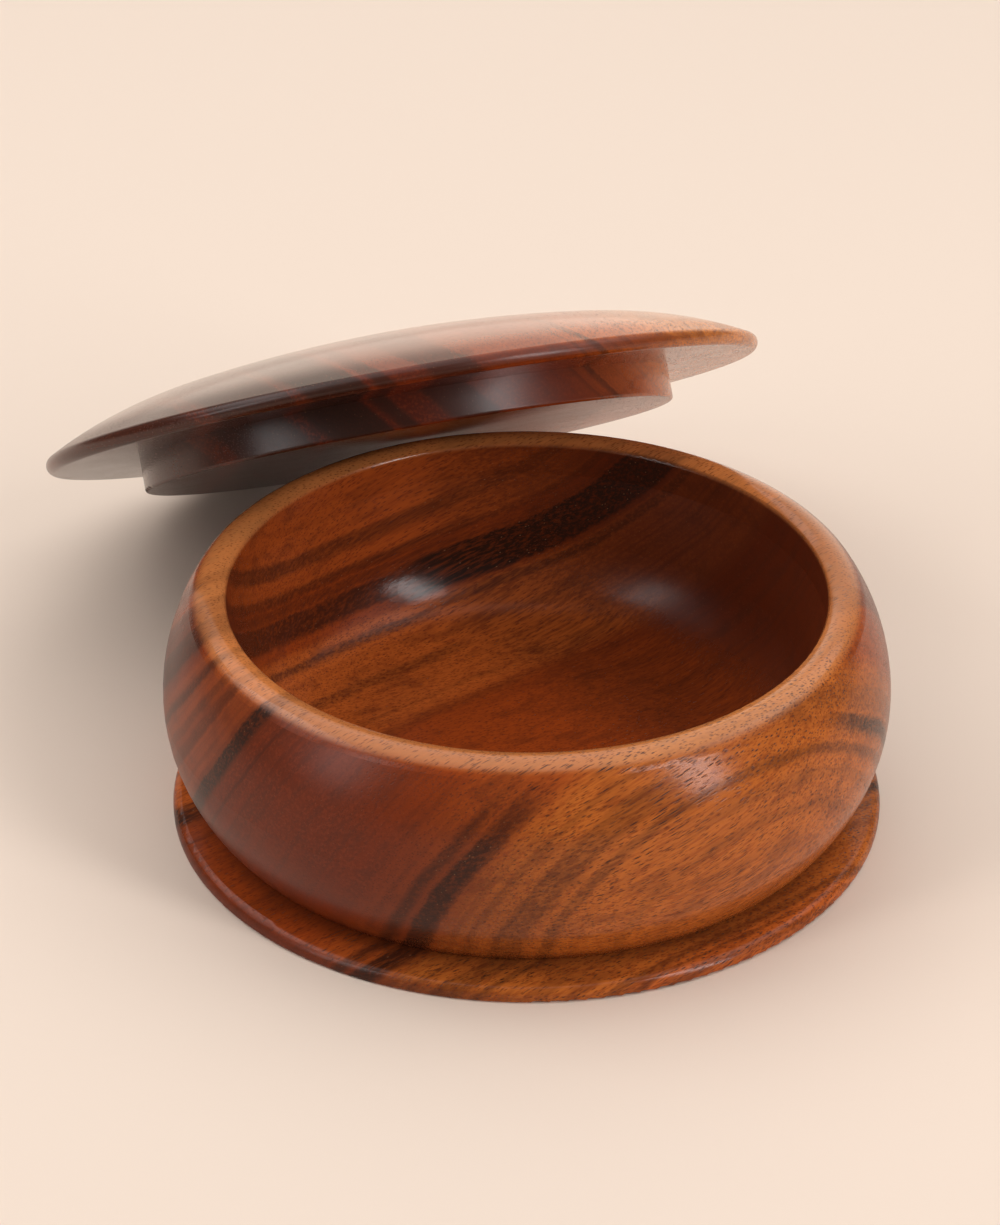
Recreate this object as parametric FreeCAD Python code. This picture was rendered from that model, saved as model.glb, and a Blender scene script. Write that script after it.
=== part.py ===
"""Turned wooden shaving bowl with a loose lid.

Two pieces, each one turning: a squat bowl on a flared foot, and a domed lid with a short spigot that
drops into the mouth. The lid is off, leaning with its spigot's face on the back of the rim and its
far edge on the table.

Millimetres, +Z up. The origin is the centre of the foot, on the table. +Y is the back.
Every profile is drawn as (radius, height) and spun about its own axis.
"""
import FreeCAD, Part
import os
from math import acos, atan2, cos, degrees, hypot, radians, sin, sqrt, tan

os.makedirs("parts", exist_ok=True)

# ---- bowl, outside -------------------------------------------------------------------------------
BELLY_RADIUS = 60.0          # widest radius of the bowl
BELLY_HEIGHT = 21.9          # height of the widest radius
BELLY_LOWER_CURVE = 26.3     # radius of the curve from the belly down to the foot
BELLY_UPPER_CURVE = 31.0     # radius of the curve from the belly up to the rim
BELLY_UPPER_TURN = 32.5      # degrees that the upper curve turns before the rim's rounding
RIM_ROUNDING = 4.35          # radius of the rim's rounded top
FOOT_RADIUS = 59.3           # widest radius of the flared foot
FOOT_CREASE_HEIGHT = 3.6     # where the belly meets the top of the foot
FOOT_TOP_SLOPE = 9.5         # degrees that the foot's top falls outward
FOOT_TOP_EDGE = 1.8          # rounding of the foot's upper edge
FOOT_BOTTOM_EDGE = 0.6       # rounding of the foot's lower edge

# ---- bowl, inside --------------------------------------------------------------------------------
MOUTH_RADIUS = 49.0          # straight wall that takes the lid's spigot
MOUTH_EDGE = 0.7             # rounding between the rim and the straight wall
MOUTH_WALL_BOTTOM = 34.0     # height where the straight wall ends and the hollow starts to taper
COVE_RADIUS = 16.5           # rounding between the tapered wall and the floor
FLOOR_RADIUS = 30.5          # the flat part of the floor
FLOOR_HEIGHT = 8.0           # inside floor above the table

# ---- lid -----------------------------------------------------------------------------------------
LID_RADIUS = 64.6            # overhangs the belly, as a finger grip
LID_EDGE = 1.5               # the lid's edge is a full round of this radius
SHOULDER_SLOPE = 28.4        # degrees that the top falls at the edge
CROWN_SLOPE = 9.8            # degrees that the top falls where the shoulder meets the crown
CROWN_RADIUS = 41.6          # radius of the flatter crown
SPIGOT_CLEARANCE = 1.0       # radial play in the mouth, so that wet wood does not bind
SPIGOT_HEIGHT = 5.9
SPIGOT_EDGE = 0.6

# ---- how the lid leans ---------------------------------------------------------------------------
LEAN_TILT = 33.5             # degrees between the lid's axis and the vertical
LEAN_DIRECTION = 109.1       # degrees from +X, towards the back and a little to the left
LEAN_SIDESTEP = 1.6          # the lid's centre lies this far to the right of that direction
REST_GAP = 0.3               # air between the spigot's face and the rim

SPIGOT_RADIUS = MOUTH_RADIUS - SPIGOT_CLEARANCE


def point(radius, height):
    """A profile point in the XZ plane."""
    return FreeCAD.Vector(radius, 0, height)


def around(centre, radius, degrees):
    """The point on a circle of the profile plane, at an angle above the outward direction."""
    return centre + point(radius * cos(radians(degrees)), radius * sin(radians(degrees)))


def line(start, end):
    return Part.LineSegment(start, end).toShape()


def arc(centre, radius, start_degrees, end_degrees):
    """A round stretch of a profile between two angles, taken the short way."""
    middle_degrees = (start_degrees + end_degrees) / 2
    ends = [around(centre, radius, degrees) for degrees in (start_degrees, middle_degrees, end_degrees)]
    return Part.Arc(*ends).toShape()


def turned(edges):
    """Spin a closed profile about the Z axis."""
    wire = Part.Wire(edges)
    return Part.Face(wire).revolve(FreeCAD.Vector(0, 0, 0), FreeCAD.Vector(0, 0, 1), 360)


def rim_centre():
    """Centre of the rim's rounding, set so that it runs smoothly on from the belly's upper curve."""
    belly_centre = point(BELLY_RADIUS - BELLY_UPPER_CURVE, BELLY_HEIGHT)
    return around(belly_centre, BELLY_UPPER_CURVE - RIM_ROUNDING, BELLY_UPPER_TURN)


def foot_edges(crease):
    """The foot from the centre of its flat face, round its edge and in over its top to the crease."""
    bottom = point(FOOT_RADIUS - FOOT_BOTTOM_EDGE, FOOT_BOTTOM_EDGE)
    slope = radians(FOOT_TOP_SLOPE)
    top_radius = FOOT_RADIUS - FOOT_TOP_EDGE
    fall = (top_radius - crease.x) * tan(slope)
    top = point(top_radius, crease.z - fall - FOOT_TOP_EDGE / cos(slope))
    top_end = around(top, FOOT_TOP_EDGE, 90 - FOOT_TOP_SLOPE)
    return [
        line(point(0, 0), around(bottom, FOOT_BOTTOM_EDGE, -90)),
        arc(bottom, FOOT_BOTTOM_EDGE, -90, 0),
        line(around(bottom, FOOT_BOTTOM_EDGE, 0), around(top, FOOT_TOP_EDGE, 0)),
        arc(top, FOOT_TOP_EDGE, 0, 90 - FOOT_TOP_SLOPE),
        line(top_end, crease),
    ]


def belly_edges(lower_centre, crease, crease_degrees):
    """The belly from the crease up to the start of the rim's rounding."""
    upper_centre = point(BELLY_RADIUS - BELLY_UPPER_CURVE, BELLY_HEIGHT)
    return [
        arc(lower_centre, BELLY_LOWER_CURVE, crease_degrees, 0),
        arc(upper_centre, BELLY_UPPER_CURVE, 0, BELLY_UPPER_TURN),
    ]


def rim_edges():
    """Over the rim and down the straight wall of the mouth, with a small round between them."""
    rim = rim_centre()
    reach = RIM_ROUNDING - MOUTH_EDGE
    edge_x = MOUTH_RADIUS + MOUTH_EDGE
    blend_degrees = 180 - degrees(acos((rim.x - edge_x) / reach))
    edge = around(rim, reach, blend_degrees)
    return [
        arc(rim, RIM_ROUNDING, BELLY_UPPER_TURN, blend_degrees),
        arc(edge, MOUTH_EDGE, blend_degrees, 180),
        line(around(edge, MOUTH_EDGE, 180), point(MOUTH_RADIUS, MOUTH_WALL_BOTTOM)),
    ]


def hollow_edges():
    """The wall tapers in under the mouth, then runs smoothly into a round cove and a flat floor."""
    wall_top = point(MOUTH_RADIUS, MOUTH_WALL_BOTTOM)
    cove_centre = point(FLOOR_RADIUS, FLOOR_HEIGHT + COVE_RADIUS)
    across = wall_top.x - cove_centre.x
    above = wall_top.z - cove_centre.z
    wall_degrees = degrees(atan2(above, across) - acos(COVE_RADIUS / hypot(across, above)))
    return [
        line(wall_top, around(cove_centre, COVE_RADIUS, wall_degrees)),
        arc(cove_centre, COVE_RADIUS, wall_degrees, -90),
        line(around(cove_centre, COVE_RADIUS, -90), point(0, FLOOR_HEIGHT)),
    ]


def make_bowl():
    lower_centre = point(BELLY_RADIUS - BELLY_LOWER_CURVE, BELLY_HEIGHT)
    crease_drop = BELLY_HEIGHT - FOOT_CREASE_HEIGHT
    crease_reach = sqrt(BELLY_LOWER_CURVE ** 2 - crease_drop ** 2)
    crease = lower_centre + point(crease_reach, -crease_drop)
    crease_degrees = -degrees(acos(crease_reach / BELLY_LOWER_CURVE))
    edges = foot_edges(crease)
    edges += belly_edges(lower_centre, crease, crease_degrees)
    edges += rim_edges()
    edges += hollow_edges()
    edges.append(line(point(0, FLOOR_HEIGHT), point(0, 0)))
    return turned(edges)


def make_lid():
    """The lid about its own axis, with the flat underside of its disc at height 0."""
    spigot_corner = point(SPIGOT_RADIUS - SPIGOT_EDGE, SPIGOT_EDGE - SPIGOT_HEIGHT)
    edge = point(LID_RADIUS - LID_EDGE, LID_EDGE)
    edge_top = around(edge, LID_EDGE, 90 - SHOULDER_SLOPE)

    slope_change = sin(radians(SHOULDER_SLOPE)) - sin(radians(CROWN_SLOPE))
    shoulder_curve = (edge_top.x - CROWN_RADIUS) / slope_change
    shoulder_centre = around(edge_top, -shoulder_curve, 90 - SHOULDER_SLOPE)
    crown_start = around(shoulder_centre, shoulder_curve, 90 - CROWN_SLOPE)

    crown_curve = CROWN_RADIUS / sin(radians(CROWN_SLOPE))
    crown_centre = around(crown_start, -crown_curve, 90 - CROWN_SLOPE)
    apex = point(0, crown_centre.z + crown_curve)

    return turned([
        line(point(0, -SPIGOT_HEIGHT), around(spigot_corner, SPIGOT_EDGE, -90)),
        arc(spigot_corner, SPIGOT_EDGE, -90, 0),
        line(around(spigot_corner, SPIGOT_EDGE, 0), point(SPIGOT_RADIUS, 0)),
        line(point(SPIGOT_RADIUS, 0), around(edge, LID_EDGE, -90)),
        arc(edge, LID_EDGE, -90, 90 - SHOULDER_SLOPE),
        arc(shoulder_centre, shoulder_curve, 90 - SHOULDER_SLOPE, 90 - CROWN_SLOPE),
        Part.Arc(crown_start, around(crown_centre, crown_curve, 90 - CROWN_SLOPE / 2), apex).toShape(),
        line(apex, point(0, -SPIGOT_HEIGHT)),
    ])


def leaning(lid):
    """Tilt the lid, stand its far edge on the table and bring its spigot's face to the rim."""
    tilt = radians(LEAN_TILT)
    rim = rim_centre()
    height = (LID_RADIUS - LID_EDGE) * sin(tilt) + LID_EDGE * (1 - cos(tilt))
    rim_to_face = RIM_ROUNDING + REST_GAP + SPIGOT_HEIGHT
    setback = rim.x + ((rim.z - height) * cos(tilt) + rim_to_face) / sin(tilt)
    placed = lid.copy()
    placed.rotate(FreeCAD.Vector(0, 0, 0), FreeCAD.Vector(0, 1, 0), LEAN_TILT)
    placed.translate(FreeCAD.Vector(setback, -LEAN_SIDESTEP, height))
    placed.rotate(FreeCAD.Vector(0, 0, 0), FreeCAD.Vector(0, 0, 1), LEAN_DIRECTION)
    return placed


def main():
    make_bowl().exportStep("parts/bowl.step")
    leaning(make_lid()).exportStep("parts/lid.step")


main()
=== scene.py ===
"""Looks for the turned wooden shaving bowl and its loose lid.

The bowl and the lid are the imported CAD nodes, with solid wood grown through them: growth layers are
shells around a pith line that runs past the piece, and pores are thin tubes along the fibres, so the
figure is right wherever the turning cuts it. The scene is in metres; the wood is worked out in
millimetres.
"""

from math import cos, pi, radians, sin
from types import SimpleNamespace

import bpy
from mathutils import Matrix, Quaternion, Vector


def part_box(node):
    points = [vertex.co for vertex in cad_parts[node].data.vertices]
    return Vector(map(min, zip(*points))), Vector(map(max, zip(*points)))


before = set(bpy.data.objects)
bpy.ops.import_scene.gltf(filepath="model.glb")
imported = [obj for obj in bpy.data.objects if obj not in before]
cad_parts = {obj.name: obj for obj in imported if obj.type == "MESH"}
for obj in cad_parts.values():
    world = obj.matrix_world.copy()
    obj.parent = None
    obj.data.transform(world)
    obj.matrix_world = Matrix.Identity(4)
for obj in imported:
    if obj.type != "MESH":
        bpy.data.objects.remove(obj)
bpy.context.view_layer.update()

MM = 0.001

# ---- camera --------------------------------------------------------------------------------------
CAMERA_DISTANCE = 0.6064     # from a point on the bowl's axis
CAMERA_HEIGHT = 0.0351       # height of that point
CAMERA_ELEVATION = 30.99     # degrees above the horizon
CAMERA_PAN = 0.417           # degrees to the left
CAMERA_ROLL = 0.195          # degrees
CAMERA_LENS = 108.88         # millimetres, on a sensor 36 mm high
SENSOR_HEIGHT = 36.0

# ---- floor ---------------------------------------------------------------------------------------
FLOOR_COLOUR = (0.80, 0.66, 0.555)
FALLOFF_SHADE_COLOUR = (0.16, 0.13, 0.11)    # painted shade: the floor is coloured dark past the pool of light, where the light falls off
FLOOR_REACH = 3.0                    # how far it runs in front and to the sides
FLOOR_ROUGHNESS = 0.7
FLOOR_SHINE = 0.2
LIT_HALF_WIDTH = 0.30
LIT_FRONT = 0.45                   # how far the pool of light runs in front of the bowl
PAPER_BACK = 0.50                    # the floor ends here, and the sweep is seen behind it
LIT_FADE = 1.3                     # the painted shade is full this many times as far away

# ---- light ---------------------------------------------------------------------------------------
# Directions are (compass angle, height angle) in degrees, seen from the bowl. A brightness is a radiance,
# where the lit floor is about 1.
AIM_HEIGHT = 0.03                    # the strips and the panels face this height on the bowl's axis
KEY_LOW = (-34, 8)                   # the key and the fill are strip softboxes that lean inward
KEY_HIGH = (-42, 44)
FILL_LOW = (-151, 8)
FILL_HIGH = (-143, 44)
STRIP_DISTANCE = 1.5
STRIP_WIDTH = 0.27
KEY_BRIGHTNESS = 12.5
FILL_BRIGHTNESS = 6.0
# The side panels: compass angle, lowest and highest height angle, and brightness.
SIDE_PANELS = {"right": (5, 30, 58, 0.9), "left": (172, 30, 58, 1.8)}
SIDE_WIDTH = 1.10
CEILING_HEIGHT = 1.2
CEILING_SETBACK = 0.55
CEILING_SIZE = (2.6, 2.0)
CEILING_BRIGHTNESS = 1.12
SWEEP_COLOUR = (1.30, 1.12, 0.95)
SWEEP_EDGES = (0.74, 0.94)           # how far back a direction points where the sweep starts and is full
ROOM_COLOUR = (0.13, 0.12, 0.11)

# ---- wood of the bowl ----------------------------------------------------------------------------
BOWL_PITH = (-53.4, 66.2, 83.6)      # a point on the pith line, in the frame, in mm
BOWL_TRUNK = (0.78, 0.63, 0.0)       # direction of the trunk
BOWL_FIBRE = (0.83, 0.45, 0.30)      # the fibres spiral a little around the trunk
BOWL_POROUS = (100, 146)             # distances from the pith between which the pores get crowded
BOWL_CREASE = (52.6, 3.6)            # radius and height of the crease, darkened by some dust and by painted shade
BOWL_SHINE = 0.20                    # specular level
BOWL_COAT = 0.50                     # weight of the clear coat where the rim's top is painted paler
RIM_WORN_AND_SHEEN = (1.5, 0.3)                # the wood is painted paler between these depths below the rim's top: partly wear, partly a painted sheen of the light from above
RIM_WORN_AND_SHEEN_SHARE = 0.45                # how much of the pale colour is mixed in

GOLD = (0.46, 0.120, 0.020)
ORANGE = (0.50, 0.108, 0.018)
RUSSET = (0.36, 0.070, 0.012)
AMBER = (0.32, 0.053, 0.0085)
RED = (0.20, 0.032, 0.0085)
UMBER = (0.085, 0.0175, 0.0070)
BLACK = (0.026, 0.0100, 0.0060)
PORE = (0.020, 0.0070, 0.0045)
DUST = (0.34, 0.17, 0.085)
BRIGHT = (0.70, 0.225, 0.042)
WORN_AND_SHEEN = (0.66, 0.270, 0.085)          # paler wood: on the rim's top partly rubbed by wear and partly a painted sheen of the light from above, on the lid's top a painted sheen
END_GRAIN = (0.43, 0.38, 0.52)       # how much darker the wood is where it is cut across

# Colour of the wood by distance from the pith, in mm.
BOWL_ZONES = [
    (55, RUSSET), (71, RUSSET), (73, AMBER), (81, AMBER), (83, ORANGE), (98, ORANGE),
    (102, AMBER), (126, AMBER), (134, RUSSET), (138, RUSSET), (142, GOLD), (160, GOLD), (164, ORANGE),
    (170, ORANGE),
]

# Dark growth layers: distance from the pith where each starts and ends, how dark it is, and where
# along the trunk it starts and ends (None: it runs right through).
BOWL_LAYERS = [
    (58.0, 130.0, 0.42, 16, None),
    (65.8, 68.2, 0.60, None, None),
    (71.2, 72.9, 0.60, None, None),
    (73.2, 75.2, 0.55, None, None),
    (75.4, 79.6, 0.80, None, 18),
    (74.6, 81.4, 1.00, 6, None),
    (83.8, 85.1, 0.65, None, 12),
    (82.4, 84.4, 0.70, 12, None),
    (90.8, 92.2, 0.50, None, 14),
    (88.5, 90.6, 0.50, 14, None),
    (88.0, 89.4, 0.45, None, -46),
    (97.4, 97.9, 0.25, -44, None),
    (97.9, 100.6, 0.97, None, -46),
    (99.9, 101.6, 0.30, -44, None),
    (103.6, 104.2, 0.45, None, -46),
    (107.0, 107.5, 0.25, None, -46),
    (134.0, 135.5, 0.72, None, -38),
    (136.5, 139.3, 0.92, None, -36),
    (143.0, 146.0, 0.30, -12, None),
    (143.2, 144.0, 0.30, None, -12),
    (145.8, 148.6, 0.45, None, -16),
    (146.6, 148.4, 0.92, 20, None),
    (147.0, 147.8, 0.30, None, -8),
    (150.0, 151.0, 0.46, None, None),
    (152.6, 153.6, 0.22, -10, None),
    (155.6, 156.2, 0.22, None, None),
    (160.6, 161.6, 0.50, None, None),
    (162.5, 163.0, 0.40, None, None),
    (164.0, 165.4, 0.45, None, None),
]

# ---- wood of the lid -----------------------------------------------------------------------------
# The lid's wood is laid out about its own axis: +Z is its top, and +X is its edge on the table.
LID_LEAN = 33.5                      # degrees between the lid's axis and the vertical
LID_DIRECTION = 109.1                # degrees from +X that it leans towards
LID_CENTRE = (-22.2, 68.9, 35.1)      # middle of its disc's underside, in the frame, in mm
LID_PITH = (-24.0, -225.0, 198.0)
LID_TRUNK = (0.99, -0.10, 0.0)
LID_FIBRE = (0.97, -0.10, 0.20)
LID_SHEEN = (3.5, 7.0)                # heights between which the wood is painted paler and its dark layers fade: a painted sheen
LID_SHEEN_SHARE = 0.10
LID_POROUS = (300, 260)
LID_SHINE = 0.34
LID_COAT = 0.55

LID_ZONES = [
    (250, BRIGHT), (266, BRIGHT), (278, ORANGE), (288, AMBER), (295, AMBER), (300, RED), (311, RED),
    (314, UMBER), (350, UMBER),
]
LID_LAYERS = [
    (281.5, 282.3, 0.60, None, None),
    (284.0, 284.5, 0.40, None, None),
    (297.6, 303.4, 0.70, None, None),
    (308.2, 310.4, 0.80, None, None),
    (311.6, 319.0, 0.90, None, None),
    (321.0, 330.0, 0.75, None, None),
    (333.0, 350.0, 0.60, None, None),
]

# ---- figure of the wood, the same in both pieces --------------------------------------------------
# Sizes are in mm. A pair of sizes is across the fibres and along them; a pair of edges is where a mask
# starts and where it is full. Shares are of the colour or the mask that they apply to.
NOISE_MIDDLE = (0.5, 0.5, 0.5)
WANDER_SIZE = 45                     # the growth layers wander from true shells, slowly
WANDER_REACH = 3.5
RIPPLE_SIZE = (6, 60)                # and they ripple
RIPPLE_REACH = 1.0
FEATHER_SIZE = (0.6, 7)              # and their edges are feathered by the fibres
FEATHER_REACH = 0.7
LAYER_SOFTNESS = 0.5                 # most that a dark layer's edge is spread
LAYER_FADE = 8                       # how gradually a dark layer starts or ends along the trunk
LAYER_BROKEN = 0.35                  # how much of its darkness goes where the fibres break it up
LAYER_WHOLE_EDGES = (0.32, 0.58)
LAYER_WORN_AND_SHEEN_OFF = 0.60                # and where the tops are painted paler: wear and painted sheen on the rim, painted sheen on the lid

CUT_EDGES = (0.40, 0.95)             # end grain, by the cosine from the surface's normal to the trunk
LINE_RATE = 0.9                      # a rate is a noise's cells to a mm
LINE_DRIFT = 0.03                    # a drift is the share of that rate it has along the trunk
LINE_EDGES = (0.42, 0.66)
LINE_SHARE = 0.20
LINE_SHARE_IN_CUT = 0.35             # added on end grain
STRAND_SIZE = (0.5, 9)
STRAND_EDGES = (0.45, 0.66)
STRAND_SHARE = 0.50
PATCH_SIZE = (3.0, 12)
PATCH_EDGES = (0.50, 0.72)
PATCH_SHARE = 0.35

# A tube's edges are radii, as shares of its size: it is full inside the first, and gone past the second.
PORE_SIZE = (0.45, 4.5)
PORE_EDGES = (0.14, 0.34)
PORE_SHARE = 0.18
PORE_SHARE_CROWDED = 0.50            # added where the pores are crowded
PORE_DEPTH = 0.08                    # in mm
CROWD_RATE = 0.16
CROWD_DRIFT = 0.2
CROWD_EDGES = (0.30, 0.62)
CROWD_LEAST = 0.4                    # added everywhere, so that no part of those layers is bare
SPECK_SIZE = (0.34, 1.8)
SPECK_EDGES = (0.12, 0.40)
SPECK_SHARE = 0.70
SPECK_DEPTH = 0.25                   # as a share of a pore's
FLECK_SIZE = (0.80, 2.0)
FLECK_EDGES = (0.05, 0.13)
FLECK_SHARE = 0.55
FLECK_SHARE_IN_CUT = 0.25
TUBES_LOST_IN_CUT = 0.5              # how much less the tubes show on end grain
BUMP_STRENGTH = 0.35

CREASE_SHADE_REACH = 4.5                    # how far from the crease the dust and painted shade fade out
CREASE_SHADE_SHARE = 0.50
ROUGHNESS = 0.16
SATIN_RATE = 0.12
SATIN_ROUGHNESS = 0.08
PORE_ROUGHNESS = 0.2
CUT_ROUGHNESS = 0.12
COAT_ROUGHNESS = 0.12


class Net:
    """Adds nodes to a node tree and wires them: add returns the node, and the others its output."""

    def __init__(self, tree):
        self.tree = tree
        tree.nodes.clear()

    def add(self, kind, inputs, **settings):
        node = self.tree.nodes.new(kind)
        for name, value in settings.items():
            setattr(node, name, value)
        for key, value in inputs.items():
            if isinstance(value, bpy.types.NodeSocket):
                self.tree.links.new(value, node.inputs[key])
            else:
                node.inputs[key].default_value = value
        return node

    def math(self, operation, *values):
        return self.add("ShaderNodeMath", dict(enumerate(values)), operation=operation).outputs[0]

    def times(self, first, second):
        return self.math("MULTIPLY", first, second)

    def plus(self, first, second):
        return self.math("ADD", first, second)

    def one_minus(self, value):
        return self.math("SUBTRACT", 1.0, value)

    def vector(self, operation, *values, scale=None):
        inputs = dict(enumerate(values))
        if scale is not None:
            inputs["Scale"] = scale
        node = self.add("ShaderNodeVectorMath", inputs, operation=operation)
        is_number = operation in ("DOT_PRODUCT", "LENGTH", "DISTANCE")
        return node.outputs["Value" if is_number else "Vector"]

    def step(self, value, start, end):
        """0 below start, 1 above end, and smooth between them."""
        inputs = {"Value": value, "From Min": start, "From Max": end}
        return self.add("ShaderNodeMapRange", inputs, interpolation_type="SMOOTHSTEP").outputs[0]

    def mix(self, factor, first, second, blend="MIX"):
        first = first if isinstance(first, bpy.types.NodeSocket) else (*first, 1)
        second = second if isinstance(second, bpy.types.NodeSocket) else (*second, 1)
        inputs = {0: factor, 6: first, 7: second}
        return self.add("ShaderNodeMix", inputs, data_type="RGBA", blend_type=blend).outputs[2]

    def combine(self, *parts):
        return self.add("ShaderNodeCombineXYZ", dict(enumerate(parts))).outputs[0]

    def noise(self, vector, scale, detail=2.0, roughness=0.5, colour=False):
        inputs = {"Vector": vector, "Scale": scale, "Detail": detail, "Roughness": roughness}
        return self.add("ShaderNodeTexNoise", inputs).outputs["Color" if colour else 0]

    def ramp(self, value, stops):
        """Colours by value; each stop is (value, colour)."""
        low, high = stops[0][0], stops[-1][0]
        place = self.math("DIVIDE", self.math("SUBTRACT", value, low), high - low)
        node = self.add("ShaderNodeValToRGB", {0: place})
        node.color_ramp.interpolation = "EASE"
        elements = node.color_ramp.elements
        while len(elements) > 1:
            elements.remove(elements[-1])
        for i, (stop, colour) in enumerate(stops):
            position = (stop - low) / (high - low)
            element = elements[0] if i == 0 else elements.new(position)
            element.position = position
            element.color = (*colour, 1)
        return node.outputs[0]


def axes_along(direction):
    """Two directions square to a given one, and the direction itself, each of unit length."""
    along = Vector(direction).normalized()
    side = along.cross(Vector((0, 0, 1))).normalized()
    return side, side.cross(along), along


def lid_axes():
    """The lid's own X, Y and Z directions in the frame."""
    turn = Matrix.Rotation(radians(LID_DIRECTION), 3, "Z") @ Matrix.Rotation(radians(LID_LEAN), 3, "Y")
    return [tuple(axis) for axis in turn.transposed()]


class Grain:
    """Places in one piece's wood, as the outputs of nodes that its whole figure is made from."""

    def __init__(self, net, wood):
        self.net = net
        self.wood = wood
        self.trunk = tuple(Vector(wood.trunk).normalized())
        place = net.add("ShaderNodeTexCoord", {}).outputs["Object"]
        from_centre = net.vector("SUBTRACT", net.vector("SCALE", place, scale=1 / MM), wood.centre)
        self.point = self.in_axes(from_centre)
        self.height = net.add("ShaderNodeSeparateXYZ", {0: self.point}).outputs[2]
        self.ring, self.along = self.place_in_trunk()
        self.cut_across = self.share_cut_across()
        self.strands = self.fibrous_noise(STRAND_SIZE, detail=3, roughness=0.6)

    def in_axes(self, vector):
        """A vector of the frame, measured along the piece's own axes."""
        return self.net.combine(*(self.net.vector("DOT_PRODUCT", vector, axis) for axis in self.wood.axes))

    def stretched(self, size):
        """Coordinates in cells of the given size across the fibres and along them."""
        across, along = size
        side, up, forward = axes_along(self.wood.fibre)
        return self.net.combine(*(
            self.net.math("DIVIDE", self.net.vector("DOT_PRODUCT", self.point, tuple(axis)), length)
            for axis, length in ((side, across), (up, across), (forward, along))
        ))

    def fibrous_noise(self, size, **settings):
        return self.net.noise(self.stretched(size), 1.0, **settings)

    def across_rings(self, rate, drift, **settings):
        """Noise that changes quickly from ring to ring, and slowly along the trunk."""
        place = self.net.combine(self.ring, self.net.times(self.along, drift))
        return self.net.noise(place, rate, **settings)

    def shift(self, colour, reach):
        """A noise's colour, as a shift of up to half the reach each way."""
        return self.net.vector("SCALE", self.net.vector("SUBTRACT", colour, NOISE_MIDDLE), scale=reach)

    def place_in_trunk(self):
        """Distance from the pith, and place along the trunk."""
        net = self.net
        wander = self.shift(net.noise(self.point, 1 / WANDER_SIZE, detail=2, colour=True), WANDER_REACH)
        ripple = self.shift(self.fibrous_noise(RIPPLE_SIZE, detail=3, colour=True), RIPPLE_REACH)
        feather = self.shift(self.fibrous_noise(FEATHER_SIZE, detail=2, colour=True), FEATHER_REACH)
        shifts = net.vector("ADD", feather, net.vector("ADD", wander, ripple))
        moved = net.vector("ADD", self.point, shifts)
        offset = net.vector("SUBTRACT", moved, self.wood.pith)
        trunk_part = net.vector("SCALE", self.trunk, scale=net.vector("DOT_PRODUCT", offset, self.trunk))
        ring = net.vector("LENGTH", net.vector("SUBTRACT", offset, trunk_part))
        return ring, net.vector("DOT_PRODUCT", moved, self.trunk)

    def share_cut_across(self):
        """1 where the turning cuts across the trunk, 0 where it runs along it."""
        normal = self.net.add("ShaderNodeNewGeometry", {}).outputs["Normal"]
        end_on = self.net.vector("DOT_PRODUCT", self.in_axes(normal), self.trunk)
        return self.net.step(self.net.math("ABSOLUTE", end_on), *CUT_EDGES)

    def tubes(self, size, edges):
        """1 inside thin tubes along the fibres."""
        cells = self.net.add(
            "ShaderNodeTexVoronoi",
            {"Vector": self.stretched(size), "Scale": 1.0, "Randomness": 1.0},
            feature="F1",
        )
        return self.net.one_minus(self.net.step(cells.outputs["Distance"], *edges))


def layer_mask(grain):
    """How dark the growth layers are at a point."""
    net = grain.net
    total = 0.0
    for start, end, darkness, first, last in grain.wood.layers:
        soft = min(LAYER_SOFTNESS, (end - start) / 3)
        rise = net.step(grain.ring, start - soft, start + soft)
        fall = net.step(grain.ring, end - soft, end + soft * 2)
        band = net.times(net.math("SUBTRACT", rise, fall), darkness)
        if first is not None:
            band = net.times(band, net.step(grain.along, first - LAYER_FADE, first + LAYER_FADE))
        if last is not None:
            reach = net.step(grain.along, last - LAYER_FADE, last + LAYER_FADE)
            band = net.times(band, net.one_minus(reach))
        total = net.math("MAXIMUM", total, band)
    return total


def plain_colour(grain):
    """The wood's colour with its fine lines, fibres and patches, without dark layers and pores."""
    net = grain.net
    colour = net.ramp(grain.ring, grain.wood.zones)
    # Where the turning cuts across the fibres, the finish soaks in, and the wood is darker.
    colour = net.mix(grain.cut_across, colour, net.mix(1.0, colour, END_GRAIN, "MULTIPLY"))
    lines = net.step(grain.across_rings(LINE_RATE, LINE_DRIFT, detail=4, roughness=0.65), *LINE_EDGES)
    line_share = net.plus(net.times(grain.cut_across, LINE_SHARE_IN_CUT), LINE_SHARE)
    colour = net.mix(net.times(lines, line_share), colour, UMBER)
    strands = net.step(grain.strands, *STRAND_EDGES)
    colour = net.mix(net.times(strands, STRAND_SHARE), colour, RED)
    patches = net.step(grain.fibrous_noise(PATCH_SIZE, detail=2), *PATCH_EDGES)
    return net.mix(net.times(patches, PATCH_SHARE), colour, UMBER)


def dark_mask(grain, paling):
    """How dark the layers show: the fibres break them up, and they fade where the tops are painted paler,
    from wear and painted sheen.
    """
    net = grain.net
    whole = net.times(net.step(grain.strands, *LAYER_WHOLE_EDGES), LAYER_BROKEN)
    broken = net.plus(whole, 1 - LAYER_BROKEN)
    left = net.one_minus(net.times(paling, LAYER_WORN_AND_SHEEN_OFF))
    return net.times(net.times(layer_mask(grain), broken), left)


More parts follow.
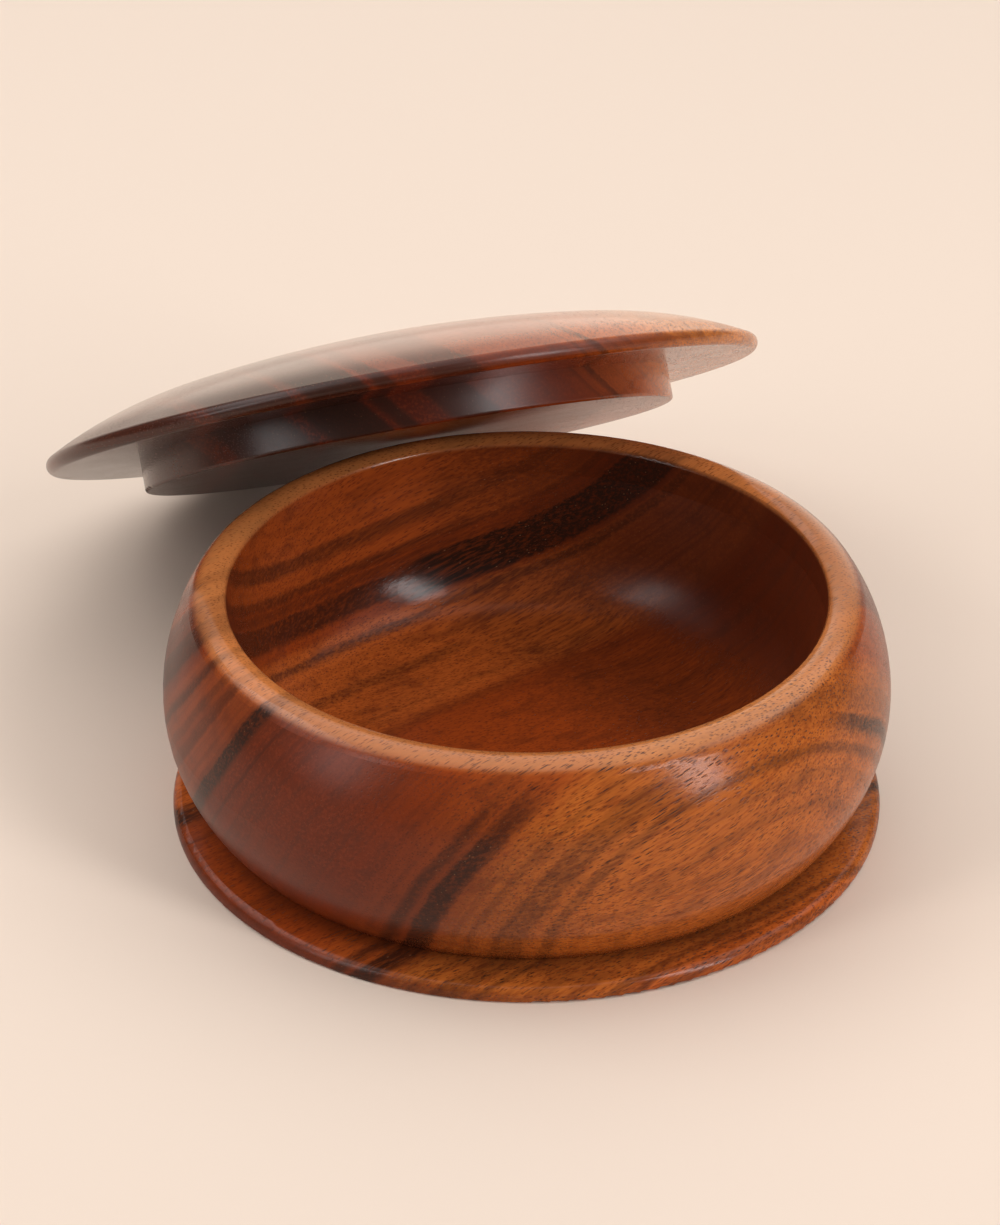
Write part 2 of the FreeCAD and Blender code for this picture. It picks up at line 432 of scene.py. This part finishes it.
def crease_dust_and_shade_mask(grain):
    """1 in the crease that runs round the piece's third axis, fading out over a few mm: some dust, and
    painted shade.
    """
    net = grain.net
    radius, height = grain.wood.crease
    x, y, z = net.add("ShaderNodeSeparateXYZ", {0: grain.point}).outputs
    out = net.math("SUBTRACT", net.vector("LENGTH", net.combine(x, y, 0.0)), radius)
    distance = net.vector("LENGTH", net.combine(out, net.math("SUBTRACT", z, height), 0.0))
    return net.one_minus(net.step(distance, 0.0, CREASE_SHADE_REACH))


def pore_masks(grain):
    """The pores, which are crowded in some layers, and the finer specks that lie everywhere."""
    net = grain.net
    patchy = net.step(grain.across_rings(CROWD_RATE, CROWD_DRIFT), *CROWD_EDGES)
    crowd = net.times(net.step(grain.ring, *grain.wood.porous), net.plus(patchy, CROWD_LEAST))
    share = net.plus(net.times(crowd, PORE_SHARE_CROWDED), PORE_SHARE)
    shown = net.one_minus(net.times(grain.cut_across, TUBES_LOST_IN_CUT))
    pore = net.times(grain.tubes(PORE_SIZE, PORE_EDGES), net.times(shown, share))
    speck = net.times(grain.tubes(SPECK_SIZE, SPECK_EDGES), shown)
    return pore, speck


def roughness_of(grain, depth):
    """A satin finish, duller in the pores and where the wood is cut across."""
    net = grain.net
    satin = net.noise(grain.point, SATIN_RATE, detail=3)
    rough = net.plus(net.times(satin, SATIN_ROUGHNESS), ROUGHNESS)
    rough = net.plus(rough, net.times(depth, PORE_ROUGHNESS))
    return net.plus(rough, net.times(grain.cut_across, CUT_ROUGHNESS))


def make_wood(wood):
    """Solid wood as a material: its figure is right wherever the turning cuts it."""
    material = bpy.data.materials.new(wood.name)
    material.use_nodes = True
    net = Net(material.node_tree)
    grain = Grain(net, wood)

    # Paler towards the tops: on the rim partly wear and partly a painted sheen of the light from above, on
    # the lid's top a painted sheen; the dark layers fade there too.
    paling = net.step(grain.height, *wood.worn)
    dark = dark_mask(grain, paling)
    colour = net.mix(net.times(paling, wood.worn_share), plain_colour(grain), WORN_AND_SHEEN)
    colour = net.mix(dark, colour, BLACK)
    # Darker in the crease between the belly and the foot: some dust, and painted shade where the two meet.
    if wood.crease is not None:
        colour = net.mix(net.times(crease_dust_and_shade_mask(grain), CREASE_SHADE_SHARE), colour, UMBER)

    pore, speck = pore_masks(grain)
    colour = net.mix(net.times(speck, SPECK_SHARE), colour, UMBER)
    colour = net.mix(pore, colour, PORE)
    # Pale dust sits in a few pores of the dark wood.
    dusty = net.math("MAXIMUM", dark, net.times(grain.cut_across, FLECK_SHARE_IN_CUT))
    fleck = net.times(grain.tubes(FLECK_SIZE, FLECK_EDGES), net.times(dusty, FLECK_SHARE))
    colour = net.mix(fleck, colour, DUST)

    depth = net.plus(pore, net.times(speck, SPECK_DEPTH))
    relief = {"Height": net.one_minus(depth), "Strength": BUMP_STRENGTH, "Distance": PORE_DEPTH * MM}
    shader = net.add("ShaderNodeBsdfPrincipled", {
        "Base Color": colour,
        "Roughness": roughness_of(grain, depth),
        "Normal": net.add("ShaderNodeBump", relief).outputs[0],
        "Specular IOR Level": wood.shine,
        "Coat Weight": net.times(paling, wood.coat),
        "Coat Roughness": COAT_ROUGHNESS,
    })
    net.add("ShaderNodeOutputMaterial", {"Surface": shader.outputs[0]})
    return material


def wear(node, material):
    """Give a CAD node one material on all its faces."""
    slots = node.data.materials
    slots.clear()
    slots.append(material)


def make_floor():
    """A flat floor that is staging, not part of the object."""
    reach = FLOOR_REACH
    corners = [(-reach, -reach, 0), (reach, -reach, 0), (reach, PAPER_BACK, 0), (-reach, PAPER_BACK, 0)]
    mesh = bpy.data.meshes.new("floor")
    mesh.from_pydata(corners, [], [(0, 1, 2, 3)])
    mesh.materials.append(make_floor_material())
    floor = bpy.data.objects.new("floor", mesh)
    bpy.context.scene.collection.objects.link(floor)


def make_floor_material():
    """Pale paper in a pool of light: its colour is painted darker beside it and in front of it, a painted
    falloff of the light.
    """
    material = bpy.data.materials.new("floor")
    material.use_nodes = True
    net = Net(material.node_tree)
    place = net.add("ShaderNodeTexCoord", {}).outputs["Object"]
    across, along = net.add("ShaderNodeSeparateXYZ", {0: place}).outputs[:2]
    # Painted shade: the floor darkens away from the pool of light.
    beside = net.step(net.math("ABSOLUTE", across), LIT_HALF_WIDTH, LIT_FADE * LIT_HALF_WIDTH)
    before = net.step(net.times(along, -1.0), LIT_FRONT, LIT_FADE * LIT_FRONT)
    shader = net.add("ShaderNodeBsdfPrincipled", {
        "Base Color": net.mix(net.math("MAXIMUM", beside, before), FLOOR_COLOUR, FALLOFF_SHADE_COLOUR),
        "Roughness": FLOOR_ROUGHNESS,
        "Specular IOR Level": FLOOR_SHINE,
    })
    net.add("ShaderNodeOutputMaterial", {"Surface": shader.outputs[0]})
    return material


def toward(azimuth, elevation, distance):
    """The point at a compass angle and height angle, in degrees, seen from the bowl."""
    level = distance * cos(radians(elevation))
    return Vector((
        level * cos(radians(azimuth)),
        level * sin(radians(azimuth)),
        distance * sin(radians(elevation)),
    ))


def make_softbox(name, low, high, target, width, brightness):
    """A softbox between the middles of its low and high edges, turned to a point."""
    middle = (low + high) / 2
    height = (high - low).length
    back = (middle - target).normalized()
    across = (high - low).cross(back).normalized()
    data = bpy.data.lights.new(name, "AREA")
    data.shape = "RECTANGLE"
    data.size = width
    data.size_y = height
    data.energy = brightness * pi * width * height
    light = bpy.data.objects.new(name, data)
    turn = Matrix((across, back.cross(across), back)).transposed().to_4x4()
    light.matrix_world = Matrix.Translation(middle) @ turn
    bpy.context.scene.collection.objects.link(light)


def make_lights():
    """Two strips in front, two side panels and a ceiling."""
    bowl = Vector((0, 0, AIM_HEIGHT))
    strips = (("key", KEY_LOW, KEY_HIGH, KEY_BRIGHTNESS), ("fill", FILL_LOW, FILL_HIGH, FILL_BRIGHTNESS))
    for name, low, high, brightness in strips:
        ends = [toward(*direction, STRIP_DISTANCE) for direction in (low, high)]
        make_softbox(name, *ends, bowl, STRIP_WIDTH, brightness)
    for name, (azimuth, low, high, brightness) in SIDE_PANELS.items():
        ends = [toward(azimuth, elevation, STRIP_DISTANCE) for elevation in (low, high)]
        make_softbox(name, *ends, bowl, SIDE_WIDTH, brightness)
    width, depth = CEILING_SIZE
    front = Vector((0, CEILING_SETBACK - depth / 2, CEILING_HEIGHT))
    below = Vector((0, CEILING_SETBACK, 0))
    make_softbox("ceiling", front, front + Vector((0, depth, 0)), below, width, CEILING_BRIGHTNESS)


def make_world():
    """A pale sweep behind the bowl and a dim room in front of it."""
    world = bpy.data.worlds.new("studio")
    world.use_nodes = True
    net = Net(world.node_tree)
    direction = net.add("ShaderNodeTexCoord", {}).outputs["Generated"]
    back = net.add("ShaderNodeSeparateXYZ", {0: direction}).outputs[1]
    colour = net.mix(net.step(back, *SWEEP_EDGES), ROOM_COLOUR, SWEEP_COLOUR)
    background = net.add("ShaderNodeBackground", {"Color": colour})
    net.add("ShaderNodeOutputWorld", {"Surface": background.outputs[0]})
    bpy.context.scene.world = world


def make_camera():
    """The camera at the photograph's viewing angle."""
    elevation = radians(CAMERA_ELEVATION)
    data = bpy.data.cameras.new("camera")
    data.lens = CAMERA_LENS
    data.sensor_fit = "VERTICAL"
    data.sensor_height = SENSOR_HEIGHT
    camera = bpy.data.objects.new("camera", data)
    aim = Vector((0, 0, CAMERA_HEIGHT))
    camera.location = aim + CAMERA_DISTANCE * Vector((0, -cos(elevation), sin(elevation)))
    camera.rotation_mode = "QUATERNION"
    camera.rotation_quaternion = (
        Quaternion((1, 0, 0), radians(90) - elevation)
        @ Quaternion((0, 1, 0), radians(CAMERA_PAN))
        @ Quaternion((0, 0, 1), radians(CAMERA_ROLL))
    )
    bpy.context.scene.collection.objects.link(camera)
    bpy.context.scene.camera = camera


make_camera()
make_world()
make_floor()
make_lights()

rim_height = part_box("bowl")[1].z / MM
bowl_wood = SimpleNamespace(
    name="bowl_wood",
    centre=(0, 0, 0),
    axes=((1, 0, 0), (0, 1, 0), (0, 0, 1)),
    pith=BOWL_PITH,
    trunk=BOWL_TRUNK,
    fibre=BOWL_FIBRE,
    zones=BOWL_ZONES,
    layers=BOWL_LAYERS,
    worn=[rim_height - depth for depth in RIM_WORN_AND_SHEEN],
    worn_share=RIM_WORN_AND_SHEEN_SHARE,
    porous=BOWL_POROUS,
    shine=BOWL_SHINE,
    coat=BOWL_COAT,
    crease=BOWL_CREASE,
)
lid_wood = SimpleNamespace(
    name="lid_wood",
    centre=LID_CENTRE,
    axes=lid_axes(),
    pith=LID_PITH,
    trunk=LID_TRUNK,
    fibre=LID_FIBRE,
    zones=LID_ZONES,
    layers=LID_LAYERS,
    worn=LID_SHEEN,
    worn_share=LID_SHEEN_SHARE,
    porous=LID_POROUS,
    shine=LID_SHINE,
    coat=LID_COAT,
    crease=None,
)
wear(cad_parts["bowl"], make_wood(bowl_wood))
wear(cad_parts["lid"], make_wood(lid_wood))

bpy.context.scene.view_settings.view_transform = "Standard"
